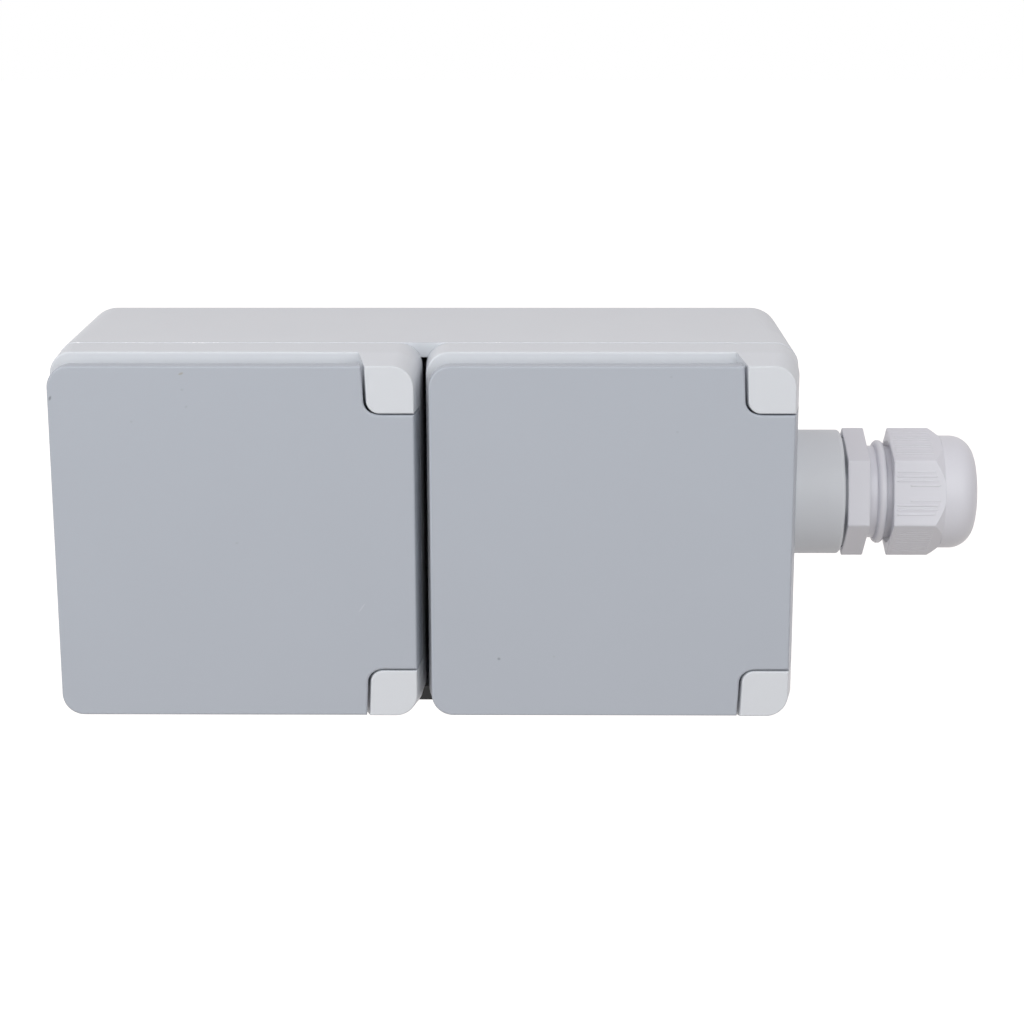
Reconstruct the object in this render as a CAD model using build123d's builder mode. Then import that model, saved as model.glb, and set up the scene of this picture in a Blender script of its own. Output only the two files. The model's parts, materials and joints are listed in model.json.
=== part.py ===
from build123d import *
import math
import os

os.makedirs("parts", exist_ok=True)

# Two-gang surface socket with hinged lids, in millimetres.
# The back of the box lies on the wall at Y = 0 and the front looks towards -Y.
# Depths are measured back from the front plane of the lids.

# Outline and levels
DEPTH = 57.4  # wall to the lids' front plane
LID_SIZE = 72.0  # side of a lid's square outline
LID_CORNER = 4.4  # corner radius of that outline
MODULE_GAP = 2.9  # between the two lids
RIM_DEPTH = 8.0  # ledge of the cover frame around the lid
SEAM_DEPTH = 15.4  # seam between the cover frames and the box
RIM_FLARE = 1.35  # how far a frame stands out past its lid at the ledge
SEAM_FLARE = 1.8  # the same at the seam
INNER_RIM_FLARE = 0.8  # the same on the side that faces the other module
INNER_SEAM_FLARE = 1.1
BOX_STEP = 0.1  # the box stands out this much past the frames at the seam
BOX_DRAFT = 0.1  # growth of the box from the seam to the wall
EDGE_ROUND = 0.3  # rounding of the moulded outer edges
FRAME_CORNER = 4.7  # corner radius of a frame at the ledge and at the seam
BACK_CORNER = 6.4  # corner radius of the box at the wall

# Cover frame
EAR_WIDTH = 9.15  # at the end towards the lid's middle
EAR_TAPER = 0.4  # growth of the width to its outer end
EAR_HEIGHT = 9.5
EAR_CORNER = 2.5
EAR_SLANT = 1.65  # the ear's inner wall leans out this much down to the ledge
LEDGE_ROUND = 0.4  # rounding of the ledge's outer edge
PANEL = 2.5  # thickness of the frame's front wall
SKIRT_WALL = 1.4
COLLAR_INSET = 2.6  # from the lid's outline to the collar under it
COLLAR_WALL = 1.6
COLLAR_EAR_GAP = 0.45
COLLAR_CORNER = 3.0

# Hinge
HINGE_INSET = 3.6  # pin axis from the lid's hinge edge
HINGE_DEPTH = 3.8
PIN_RADIUS = 1.1
PIN_RUNNING = 0.05  # radial clearance of the lid on its pin
PIN_SEAT = 0.02  # radial clearance of the pin in the ears
PIN_COVER = 3.0  # plastic left over the pin's blind end
PIN_SINK = 1.5  # the pin's other end lies this deep in the lower ear
SWEEP_CLEARANCE = 0.25  # between the turning lid and the frame
LID_SEAM = 0.3  # between the ears and the lid's notches
TROUGH_WALL = 1.2  # behind the trough that the lid's hinge wall turns in
SPRING_RADIUS = 2.15
SPRING_WIRE = 0.6
SPRING_LENGTH = 12.0
SPRING_POCKET_END = 1.0  # free length at each end of the spring
SPRING_CLEARANCE = 0.25

# Lid
LID_PLATE = 2.0
LID_EDGE = 3.0  # height of the lid's side faces
LID_RIM = 2.0  # wall of the rim behind those faces
LID_ROUND = 0.45
LID_RIB = 1.2  # stiffening ribs inside the lid
LID_RIB_HEIGHT = 1.0
LID_RIB_RADIUS = 15.0
SEAL_WIDTH = 2.2
SEAL_HEIGHT = 1.6
SEAL_GAP = 0.3  # between the shut lid's seal and the collar

# Socket insert
WELL_RADIUS = 19.5
WELL_DEPTH = 17.5
CUP_WALL = 1.2
CUP_FLOOR = 2.5
CUP_CLEARANCE = 0.2
FLANGE_OVERHANG = 1.2  # past the cup
FLANGE = 2.5
FLANGE_GAP = 0.2  # between the flange and the collar
GUIDE_WIDTH = 5.0
GUIDE_HEIGHT = 1.2
PIN_PITCH = 19.0
PIN_HOLE_RADIUS = 2.75
BASE_SIZE = 44.0
BASE_CORNER = 4.0
BASE_DEPTH = 18.0
POCKET_CLEARANCE = 0.2
CONTACT_RADIUS = 4.0
CONTACT_BORE = 2.45
CONTACT_LENGTH = 15.0
CONTACT_SLIT = 0.8
STRAP = 1.0  # thickness of the contact straps
STRAP_WIDTH = 5.0
TERMINAL_X = 17.0
TERMINAL_Z = 16.5
TERMINAL_SIZE = 7.0
TERMINAL_HEIGHT = 8.5
WIRE_HOLE_RADIUS = 1.6
WIRE_DEPTH = 6.0  # wire holes below the straps
CLIP_WIDTH = 6.0
CLIP_SHEET = 0.7
CLIP_GAP = 0.15  # between the well and the clip's arms
CLIP_NOSE = 1.65  # how far the arms bow into the well
CLIP_TIP = 1.4  # tip, bow and root of the arms behind the flange
CLIP_BOW = 5.8
CLIP_ROOT = 8.8
LUG_REACH = 4.0  # screw centres outside the base
LUG_WIDTH = 8.0
LUG_HEIGHT = 4.0

# Screws
SCREW_RADIUS = 1.7
SCREW_HEAD_RADIUS = 3.0
SCREW_HEAD = 1.8
SCREW_SLOT = 0.9
SCREW_CLEARANCE = 0.2  # radial, in the piece that the screw passes through
THREAD_CLEARANCE = 0.05  # radial, in the piece that holds the thread
COVER_SCREW_Z = 27.5
COVER_SCREW_SINK = 1.0
COVER_SCREW_GRIP = 15.0  # thread length in the box
BOSS_RADIUS = 3.7
BOSS_SPARE = 2.0  # hole left below a screw's tip
TERMINAL_SCREW_RADIUS = 1.2
TERMINAL_HEAD_RADIUS = 2.4
TERMINAL_GRIP = 4.0
CENTRE_GRIP = 9.0
INSERT_GRIP = 8.0

# Box
BOX_WALL = 3.0
BACK_WALL = 2.5
RAIL_HALF = 3.0  # half width of the rail between the two bays
RAIL_DEPTH = 3.0
WEB_HALF = 2.1
GROOVE_HALF = 0.9  # half width of the open groove between the bays
GROOVE_DEPTH = 22.0
PASSAGE_WIDTH = 24.0
PASSAGE_DEPTH = 12.0
WALL_HOLE_X = 60.0
WALL_HOLE_Z = 27.0
WALL_HOLE_RADIUS = 2.4
WALL_PAD_RADIUS = 6.0
BACK_RIM = 5.0
BACK_RECESS = 0.8
SEAM_SEAL_WIDTH = 1.2
SEAM_SEAL_HEIGHT = 1.6
SEAM_SEAL_GAP = 0.1

# Cable gland, along +X
GLAND_DEPTH = 43.9
SPOUT_RADIUS = 13.4
SPOUT_LENGTH = 12.5
SPOUT_ROUND = 0.8
GLAND_THREAD_RADIUS = 10.0
GLAND_THREAD = 9.0
GLAND_BORE = 7.2
GLAND_FLATS = 24.0
HEX_TURN = 18.0  # degrees; turns one flat to the front and a little up
HEX_ROUND = 0.6  # rounding of the edges between the flats
HEX_END_ROUND = 0.3  # rounding of the edges at the ends of the flats
WASHER = 0.6
WASHER_RADIUS = 12.0
HEX_COLLAR = 4.7
NECK_RADIUS = 9.95
NECK = 2.0
BEAD_RADIUS = 11.15
BEAD = 2.0
BEAD_FLAT = 0.1  # left on the bead's crest between its rounded edges
NUT_GAP = 1.0
NUT_THREAD_RADIUS = 9.8
NUT_RUNNING = 0.06
NUT_HEX = 8.7  # length of the nut's full corners
NUT_CHAMFER = 2.3
NUT_DOME_RADIUS = 12.15
NUT_DOME = 7.4
NUT_DOME_ROUND = 5.0
NUT_MOUTH = 6.9
NUT_RECESS = 1.2
CLAW = 5.0
CLAW_TIP = 0.6  # wall at the end of the clamping sleeve
INSERT_BORE = 5.0
INSERT_CLEARANCE = 0.1
INSERT_LIP = 1.5

# Sizes that follow from the ones above
PITCH = LID_SIZE + MODULE_GAP
MODULES = {"left": -1, "right": 1}
half_lid = LID_SIZE / 2
hinge_x = half_lid - HINGE_INSET
hinge_span = LID_SIZE - 2 * EAR_HEIGHT
ear_x = half_lid - EAR_WIDTH
notch_radius = math.hypot(EAR_WIDTH - HINGE_INSET, HINGE_DEPTH) + SWEEP_CLEARANCE
ear_slope = EAR_TAPER / EAR_HEIGHT
coil_middle = SPRING_RADIUS - SPRING_WIRE / 2
leg_z = (SPRING_LENGTH - SPRING_WIRE) / 2
pocket_right = hinge_x + SPRING_RADIUS + SPRING_CLEARANCE
hinge_wall = RIM_DEPTH - LID_SEAM
hinge_flares = {"left": INNER_RIM_FLARE * hinge_wall / RIM_DEPTH, "right": RIM_FLARE * hinge_wall / RIM_DEPTH}
seal_back = LID_PLATE + SEAL_HEIGHT
collar_top = seal_back + SEAL_GAP
collar_left = COLLAR_INSET - half_lid
collar_right = ear_x - EAR_SLANT - COLLAR_EAR_GAP
collar_height = LID_SIZE - 2 * COLLAR_INSET
collar_centre = (collar_left + collar_right) / 2
collar_width = collar_right - collar_left
seal_spread = (SEAL_WIDTH - COLLAR_WALL) / 2
panel_back = RIM_DEPTH + PANEL
flange_front = RIM_DEPTH - FLANGE
well_floor = flange_front + WELL_DEPTH
base_front = well_floor + CUP_FLOOR
base_back = base_front + BASE_DEPTH
cup_radius = WELL_RADIUS + CUP_WALL
flange_radius = cup_radius + FLANGE_OVERHANG
strap_depth = SCREW_HEAD + POCKET_CLEARANCE
strap_front = base_front + strap_depth
lug_front = base_back - LUG_HEIGHT
lug_x = BASE_SIZE / 2 + LUG_REACH
terminal_places = ((TERMINAL_X, TERMINAL_Z), (TERMINAL_X, -TERMINAL_Z), (-TERMINAL_X, -TERMINAL_Z))
box_flare = SEAM_FLARE + BOX_STEP
back_inside = DEPTH - BACK_WALL
gland_y = GLAND_DEPTH - DEPTH
box_side = PITCH / 2 + half_lid + box_flare + BOX_DRAFT
spout_end = box_side + SPOUT_LENGTH
washer_end = spout_end + WASHER
collar_end = washer_end + HEX_COLLAR
bead_start = collar_end + NECK
nut_start = bead_start + BEAD + NUT_GAP
nut_shoulder = nut_start + NUT_HEX + NUT_CHAMFER
nut_end = nut_shoulder + NUT_DOME
claw_start = nut_shoulder - NUT_CHAMFER
claw_end = claw_start + CLAW


def save(piece, name):
    """Label a finished piece and write its STEP file."""
    piece.part.label = name
    export_step(piece.part, f"parts/{name}.step")


def facing(depth, x=0.0):
    """Plane at a depth that faces the viewer, with its own x along +X and y along +Z."""
    return Plane((x, depth - DEPTH, 0), x_dir=(1, 0, 0), z_dir=(0, -1, 0))


def from_above(x=0.0, z=0.0):
    """Level plane whose own x is the place across a module and whose y is the depth."""
    return Plane((x, -DEPTH, z), x_dir=(1, 0, 0), z_dir=(0, 0, 1))


def across(x):
    """Plane through the wire holes that faces +X, with its own x along +Z."""
    return Plane((x, strap_front + WIRE_DEPTH - DEPTH, 0), x_dir=(0, 0, 1), z_dir=(1, 0, 0))


def along_gland(x):
    """Plane across the gland's axis, with its own x along +Y and y along +Z."""
    return Plane((x, gland_y, 0), x_dir=(0, 1, 0), z_dir=(1, 0, 0))


gland_plane = Plane((0, gland_y, 0), x_dir=(1, 0, 0), z_dir=(0, 0, 1))
gland_axis = Axis((0, gland_y, 0), (1, 0, 0))


def centre_x(side):
    """Middle of a module across the socket."""
    return MODULES[side] * PITCH / 2


def module_outline(side, flare, inner_flare, corner):
    """Rounded outline of a frame that stands out past the lid, less on the side of its neighbour."""
    shift = MODULES[side] * (flare - inner_flare) / 2
    with Locations((shift, 0)):
        RectangleRounded(LID_SIZE + flare + inner_flare, LID_SIZE + 2 * flare, corner)


def trough_radius(side):
    """Room around the pin for the lid's hinge wall, whose deep or front corner reaches farthest."""
    deep = math.hypot(HINGE_INSET + hinge_flares[side], hinge_wall - HINGE_DEPTH)
    return max(deep, math.hypot(HINGE_INSET, HINGE_DEPTH)) + SWEEP_CLEARANCE


def tang_plane(side):
    """Plane through the pin's axis that faces +X, at the spring's tang."""
    return Plane((centre_x(side) + hinge_x, HINGE_DEPTH - DEPTH, -leg_z), x_dir=(0, 1, 0), z_dir=(1, 0, 0))


def bay_outline(slant):
    """Everything in front of the ledge except the two ears at the hinge corners."""
    reach = LID_SIZE
    corner_x = ear_x - slant
    corner_z = hinge_span / 2
    end_x = corner_x - ear_slope * (reach - corner_z)
    Polygon(
        (-reach, reach), (end_x, reach), (corner_x, corner_z), (reach, corner_z),
        (reach, -corner_z), (corner_x, -corner_z), (end_x, -reach), (-reach, -reach), align=None,
    )
    inner = [v for v in vertices() if abs(v.X - corner_x) < 1e-6 and abs(abs(v.Y) - corner_z) < 1e-6]
    fillet(inner, EAR_CORNER)


def hexagon():
    """Outline across the gland with rounded edges between its flats."""
    RegularPolygon(GLAND_FLATS / 2, 6, major_radius=False, rotation=HEX_TURN)
    fillet(vertices(), HEX_ROUND)


def screws(side, places, head_front, head, radius, head_radius, length):
    """Slotted screws of one size at several places of a module, with their heads to the front."""
    x = centre_x(side)
    with BuildPart() as group:
        with BuildSketch(facing(head_front, x)):
            with Locations(places):
                Circle(head_radius)
        extrude(amount=-head)
        with BuildSketch(facing(head_front + head, x)):
            with Locations(places):
                Circle(radius)
        extrude(amount=-length)
        with BuildSketch(facing(head_front, x)):
            with Locations(places):
                Rectangle(2 * head_radius, SCREW_SLOT)
        extrude(amount=-head / 2, mode=Mode.SUBTRACT)
    return group


# Cover frame: flared outer form, ears for the hinge, and the collar that the lid shuts over
for side in MODULES:
    x = centre_x(side)
    with BuildPart() as cover_frame:
        with BuildSketch(facing(0, x)):
            module_outline(side, 0, 0, LID_CORNER)
        with BuildSketch(facing(RIM_DEPTH, x)):
            module_outline(side, RIM_FLARE, INNER_RIM_FLARE, FRAME_CORNER)
        loft(ruled=True)
        with BuildSketch(facing(0, x)):
            bay_outline(0)
        with BuildSketch(facing(RIM_DEPTH, x)):
            bay_outline(EAR_SLANT)
        loft(ruled=True, mode=Mode.SUBTRACT)
        fillet(cover_frame.faces().filter_by(Axis.Y).group_by(Axis.Y)[0].edges(), EDGE_ROUND)
        with BuildSketch(facing(RIM_DEPTH, x)):
            module_outline(side, RIM_FLARE, INNER_RIM_FLARE, FRAME_CORNER)
        with BuildSketch(facing(SEAM_DEPTH, x)):
            module_outline(side, SEAM_FLARE, INNER_SEAM_FLARE, FRAME_CORNER)
        loft(ruled=True)
        ledge = cover_frame.faces().filter_by(Plane.XZ).sort_by_distance((x, RIM_DEPTH - DEPTH, 0))[0]
        ear_edge = x + ear_x - EAR_SLANT - EAR_CORNER
        fillet(ledge.edges().filter_by(lambda edge: edge.center().X < ear_edge), LEDGE_ROUND)
        with BuildSketch(facing(SEAM_DEPTH, x)):
            module_outline(
                side, SEAM_FLARE - SKIRT_WALL, INNER_SEAM_FLARE - SKIRT_WALL, FRAME_CORNER - SKIRT_WALL,
            )
        extrude(amount=SEAM_DEPTH - panel_back, mode=Mode.SUBTRACT)
        with BuildSketch(facing(RIM_DEPTH, x)):
            with Locations((collar_centre, 0)):
                RectangleRounded(collar_width, collar_height, COLLAR_CORNER)
                RectangleRounded(
                    collar_width - 2 * COLLAR_WALL, collar_height - 2 * COLLAR_WALL,
                    COLLAR_CORNER - COLLAR_WALL, mode=Mode.SUBTRACT,
                )
        extrude(amount=RIM_DEPTH - collar_top)
        with BuildSketch(from_above(x)):
            with Locations((hinge_x, HINGE_DEPTH)):
                Circle(trough_radius(side) + TROUGH_WALL)
            with Locations((hinge_x, panel_back)):
                Rectangle(LID_SIZE, DEPTH, align=(Align.CENTER, Align.MIN), mode=Mode.INTERSECT)
        extrude(amount=hinge_span / 2 + TROUGH_WALL, both=True)
        with BuildSketch(from_above(x)):
            with Locations((hinge_x, HINGE_DEPTH)):
                Circle(trough_radius(side))
        extrude(amount=hinge_span / 2, both=True, mode=Mode.SUBTRACT)
        with BuildSketch(from_above(x, half_lid - PIN_COVER)):
            with Locations((hinge_x, HINGE_DEPTH)):
                Circle(PIN_RADIUS + PIN_SEAT)
        extrude(amount=-LID_SIZE, mode=Mode.SUBTRACT)
        with BuildSketch(facing(SEAM_DEPTH, x)):
            with Locations((0, COVER_SCREW_Z), (0, -COVER_SCREW_Z)):
                Circle(BOSS_RADIUS)
        extrude(amount=SEAM_DEPTH - panel_back)
        with Locations(facing(RIM_DEPTH, x)):
            with Locations((0, COVER_SCREW_Z), (0, -COVER_SCREW_Z)):
                CounterBoreHole(
                    SCREW_RADIUS + SCREW_CLEARANCE, SCREW_HEAD_RADIUS + SCREW_CLEARANCE, COVER_SCREW_SINK,
                    depth=SEAM_DEPTH,
                )
        with BuildSketch(facing(RIM_DEPTH, x)):
            Circle(cup_radius + CUP_CLEARANCE)
        extrude(amount=-PANEL, mode=Mode.SUBTRACT)
    save(cover_frame, f"cover_frame_{side}")

# Hinge pin: pushed in through the lower ear, blind in the upper one, with a hole for the spring's tang
for side in MODULES:
    with BuildPart() as hinge_pin:
        with BuildSketch(from_above(centre_x(side), half_lid - PIN_COVER)):
            with Locations((hinge_x, HINGE_DEPTH)):
                Circle(PIN_RADIUS)
        extrude(amount=PIN_COVER + PIN_SINK - LID_SIZE)
        with BuildSketch(tang_plane(side)):
            Circle(SPRING_WIRE / 2 + PIN_RUNNING)
        extrude(amount=PIN_RADIUS, mode=Mode.SUBTRACT)
    save(hinge_pin, f"hinge_pin_{side}")

# Lid: shallow tray with a hinge barrel and a deep side wall between the notches for the ears
for side in MODULES:
    x = centre_x(side)
    barrel_span = hinge_span - 2 * LID_SEAM
    pocket_span = SPRING_LENGTH + 2 * SPRING_POCKET_END
    with BuildPart() as lid:
        with BuildSketch(facing(0, x)):
            RectangleRounded(LID_SIZE, LID_SIZE, LID_CORNER)
        extrude(amount=-LID_EDGE)
        with BuildSketch(facing(LID_EDGE, x)):
            tray_right = hinge_x - notch_radius + LID_RIM
            with Locations(((tray_right - half_lid + LID_RIM) / 2, 0)):
                RectangleRounded(
                    tray_right + half_lid - LID_RIM, LID_SIZE - 2 * LID_RIM, LID_CORNER - LID_RIM,
                )
        extrude(amount=LID_EDGE - LID_PLATE, mode=Mode.SUBTRACT)
        with BuildSketch(facing(LID_PLATE, x)):
            Circle(LID_RIB_RADIUS)
            Circle(LID_RIB_RADIUS - LID_RIB, mode=Mode.SUBTRACT)
        extrude(amount=-LID_RIB_HEIGHT)
        with BuildSketch(from_above(x)):
            with Locations((hinge_x, HINGE_DEPTH)):
                Circle(HINGE_INSET)
            with Locations((hinge_x, HINGE_DEPTH / 2)):
                Rectangle(2 * HINGE_INSET, HINGE_DEPTH)
            Polygon(
                (pocket_right, 0), (half_lid, 0), (half_lid + hinge_flares[side], hinge_wall),
                (pocket_right, hinge_wall), align=None,
            )
        extrude(amount=barrel_span / 2, both=True)
        notch_plane = Plane((x + hinge_x, HINGE_DEPTH - DEPTH, 0), x_dir=(1, 0, 0), z_dir=(0, -1, 0))
        with BuildSketch(notch_plane):
            with BuildLine():
                end = barrel_span / 2
                end_radius = notch_radius + ear_slope * (LID_SIZE - end)
                Polyline((0, end), (notch_radius, end), (end_radius, LID_SIZE), (0, LID_SIZE), close=True)
            make_face()
            fillet(vertices().group_by(Axis.Y)[0].sort_by(Axis.X)[-1], EAR_CORNER + LID_SEAM)
            mirror(about=Plane.XZ)
        revolve(axis=Axis(notch_plane.origin, (0, 0, 1)), mode=Mode.SUBTRACT)
        with BuildSketch(facing(0, x)):
            with Locations((hinge_x, barrel_span / 2)):
                Rectangle(LID_SIZE, LID_SIZE, align=Align.MIN)
            mirror(about=Plane.XZ)
        extrude(amount=-DEPTH, mode=Mode.SUBTRACT)
        fillet(lid.faces().filter_by(Axis.Y).sort_by(Axis.Y)[0].edges(), LID_ROUND)
        with BuildSketch(from_above(x)):
            with Locations((hinge_x, HINGE_DEPTH)):
                Circle(PIN_RADIUS + PIN_RUNNING)
        extrude(amount=LID_SIZE, both=True, mode=Mode.SUBTRACT)
        with BuildSketch(from_above(x)):
            with Locations((hinge_x, HINGE_DEPTH)):
                Circle(SPRING_RADIUS + SPRING_CLEARANCE)
            with BuildLine():
                Polyline(
                    (pocket_right, HINGE_DEPTH), (pocket_right, DEPTH), (tray_right, DEPTH),
                    (tray_right, LID_PLATE), (hinge_x, LID_PLATE), (hinge_x, HINGE_DEPTH), close=True,
                )
            make_face()
        extrude(amount=pocket_span / 2, both=True, mode=Mode.SUBTRACT)
    save(lid, f"lid_{side}")

# Lid seal: soft ring in the lid that lies over the frame's collar
for side in MODULES:
    with BuildPart() as lid_seal:
        with BuildSketch(facing(LID_PLATE, centre_x(side))):
            with Locations((collar_centre, 0)):
                for growth, mode in ((seal_spread, Mode.ADD), (seal_spread - SEAL_WIDTH, Mode.SUBTRACT)):
                    RectangleRounded(
                        collar_width + 2 * growth, collar_height + 2 * growth, COLLAR_CORNER + growth,
                        mode=mode,
                    )
        extrude(amount=-SEAL_HEIGHT)
    save(lid_seal, f"lid_seal_{side}")

# Return spring: coil around the pin as a sleeve, with a leg under the lid and a tang in the pin
for side in MODULES:
    x = centre_x(side)
    with BuildPart() as return_spring:
        with BuildSketch(from_above(x)):
            with Locations((hinge_x, HINGE_DEPTH)):
                Circle(SPRING_RADIUS)
                Circle(SPRING_RADIUS - SPRING_WIRE, mode=Mode.SUBTRACT)
        extrude(amount=SPRING_LENGTH / 2, both=True)
        lid_leg_depth = LID_PLATE + SPRING_WIRE / 2 + SPRING_CLEARANCE
        lid_leg_plane = Plane(
            (x + hinge_x - coil_middle, lid_leg_depth - DEPTH, leg_z), x_dir=(0, 0, 1), z_dir=(-1, 0, 0),
        )
        with BuildSketch(lid_leg_plane):
            Circle(SPRING_WIRE / 2)
        extrude(amount=hinge_x - coil_middle - collar_right - seal_spread - SPRING_CLEARANCE)
        with BuildSketch(tang_plane(side)):
            Circle(SPRING_WIRE / 2)
        extrude(amount=coil_middle)
    save(return_spring, f"return_spring_{side}")

# Socket face: round well for the plug with its guide ribs, pin holes and slots for the earth arms
for side in MODULES:
    x = centre_x(side)
    with BuildPart() as socket_face:
        with BuildSketch(facing(flange_front, x)):
            Circle(flange_radius)
            with Locations((collar_centre, 0)):
                inset = 2 * (COLLAR_WALL + FLANGE_GAP)
                Rectangle(collar_width - inset, collar_height - inset, mode=Mode.INTERSECT)
        extrude(amount=-FLANGE)
        with BuildSketch(facing(RIM_DEPTH, x)):
            Circle(cup_radius)
        extrude(amount=RIM_DEPTH - base_front)
        fillet(socket_face.faces().sort_by(Axis.Y)[0].edges(), EDGE_ROUND)
        with BuildSketch(facing(flange_front, x)):
            Circle(WELL_RADIUS)
            with Locations((0, WELL_RADIUS), (0, -WELL_RADIUS)):
                Rectangle(GUIDE_WIDTH, 2 * GUIDE_HEIGHT, mode=Mode.SUBTRACT)
        extrude(amount=-WELL_DEPTH, mode=Mode.SUBTRACT)
        with BuildSketch(facing(well_floor, x)):
            Circle(SCREW_RADIUS + SCREW_CLEARANCE)
            with GridLocations(0, PIN_PITCH, 1, 2):
                Circle(PIN_HOLE_RADIUS)
        extrude(amount=-CUP_FLOOR, mode=Mode.SUBTRACT)
        with BuildSketch(facing(RIM_DEPTH, x)):
            with Locations((cup_radius, 0), (-cup_radius, 0)):
                Rectangle(2 * (CUP_WALL + CLIP_NOSE), CLIP_WIDTH + 2 * POCKET_CLEARANCE)
        extrude(amount=RIM_DEPTH - base_front, mode=Mode.SUBTRACT)
    save(socket_face, f"socket_face_{side}")

# Socket base: insulating block with chambers for the contacts and lugs that sit on the box's posts
for side in MODULES:
    x = centre_x(side)
    with BuildPart() as socket_base:
        with BuildSketch(facing(base_front, x)):
            RectangleRounded(BASE_SIZE, BASE_SIZE, BASE_CORNER)
            with Locations((0, COVER_SCREW_Z), (0, -COVER_SCREW_Z)):
                Circle(BOSS_RADIUS + POCKET_CLEARANCE, mode=Mode.SUBTRACT)
        extrude(amount=-BASE_DEPTH)
        with BuildSketch(facing(lug_front, x)):
            SlotOverall(2 * lug_x + LUG_WIDTH, LUG_WIDTH)
        extrude(amount=-LUG_HEIGHT)
        with BuildSketch(facing(lug_front, x)):
            with Locations((lug_x, 0), (-lug_x, 0)):
                Circle(SCREW_RADIUS + SCREW_CLEARANCE)
        extrude(amount=-LUG_HEIGHT, mode=Mode.SUBTRACT)
        with BuildSketch(facing(base_front, x)):
            Rectangle(BASE_SIZE, CLIP_WIDTH + 2 * POCKET_CLEARANCE)
            with Locations((-TERMINAL_X, -TERMINAL_Z / 2)):
                Rectangle(STRAP_WIDTH + 2 * POCKET_CLEARANCE, TERMINAL_Z)
        extrude(amount=-CLIP_SHEET - POCKET_CLEARANCE, mode=Mode.SUBTRACT)
        with BuildSketch(facing(base_front, x)):
            with GridLocations(0, PIN_PITCH, 1, 2):
                Circle(CONTACT_RADIUS + POCKET_CLEARANCE)
        extrude(amount=-strap_depth - CONTACT_LENGTH, mode=Mode.SUBTRACT)
        with BuildSketch(facing(base_front, x)):
            with Locations(terminal_places):
                Rectangle(TERMINAL_SIZE + 2 * POCKET_CLEARANCE, TERMINAL_SIZE + 2 * POCKET_CLEARANCE)
        extrude(amount=-strap_depth - TERMINAL_HEIGHT, mode=Mode.SUBTRACT)
        with BuildSketch(facing(base_front, x)):
            with Locations((TERMINAL_X / 2, PIN_PITCH / 2), (TERMINAL_X / 2, -PIN_PITCH / 2)):
                Rectangle(TERMINAL_X, STRAP_WIDTH + 2 * POCKET_CLEARANCE)
            with Locations((TERMINAL_X, 0)):
                Rectangle(STRAP_WIDTH + 2 * POCKET_CLEARANCE, 2 * TERMINAL_Z)
        extrude(amount=-strap_depth - STRAP - POCKET_CLEARANCE, mode=Mode.SUBTRACT)
        with BuildSketch(facing(base_front, x)):
            Circle(SCREW_RADIUS + THREAD_CLEARANCE)
        extrude(amount=-CENTRE_GRIP - BOSS_SPARE, mode=Mode.SUBTRACT)
        for place, z in terminal_places:
            with BuildSketch(across(x + place)):
                with Locations((z, 0)):
                    Circle(WIRE_HOLE_RADIUS + POCKET_CLEARANCE)
            extrude(amount=math.copysign(TERMINAL_X, place), mode=Mode.SUBTRACT)
    save(socket_base, f"socket_base_{side}")

# Contacts: slit sleeves for the plug's pins, each with a strap to its terminal
for side in MODULES:
    x = centre_x(side)
    with BuildPart() as contact_sleeves:
        for way in (1, -1):
            with BuildSketch(facing(strap_front, x)):
                with Locations((0, way * PIN_PITCH / 2)):
                    Circle(CONTACT_RADIUS)
            extrude(amount=-CONTACT_LENGTH)
            with BuildSketch(facing(strap_front, x)):
                with Locations((TERMINAL_X / 2, way * PIN_PITCH / 2)):
                    Rectangle(TERMINAL_X + STRAP_WIDTH, STRAP_WIDTH)
                with Locations((TERMINAL_X, way * (PIN_PITCH / 2 + TERMINAL_Z) / 2)):
                    Rectangle(STRAP_WIDTH, TERMINAL_Z - PIN_PITCH / 2)
            extrude(amount=-STRAP)
            with BuildSketch(facing(strap_front, x)):
                with Locations((TERMINAL_X, way * TERMINAL_Z)):
                    Rectangle(TERMINAL_SIZE, TERMINAL_SIZE)
            extrude(amount=-TERMINAL_HEIGHT)
        with BuildSketch(facing(strap_front, x)):
            with GridLocations(0, PIN_PITCH, 1, 2):
                Circle(CONTACT_BORE)
        extrude(amount=-CONTACT_LENGTH, mode=Mode.SUBTRACT)
        with BuildSketch(facing(strap_front + 2 * STRAP, x)):
            with GridLocations(0, PIN_PITCH, 1, 2):
                Rectangle(2 * CONTACT_RADIUS, CONTACT_SLIT)
        extrude(amount=-CONTACT_LENGTH, mode=Mode.SUBTRACT)
        with BuildSketch(facing(strap_front, x)):
            with Locations(terminal_places[:2]):
                Circle(TERMINAL_SCREW_RADIUS + THREAD_CLEARANCE)
        extrude(amount=-TERMINAL_HEIGHT, mode=Mode.SUBTRACT)
        with BuildSketch(across(x + TERMINAL_X)):
            with Locations((TERMINAL_Z, 0), (-TERMINAL_Z, 0)):
                Circle(WIRE_HOLE_RADIUS)
        extrude(amount=TERMINAL_SIZE, both=True, mode=Mode.SUBTRACT)
    save(contact_sleeves, f"contact_sleeves_{side}")

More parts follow.
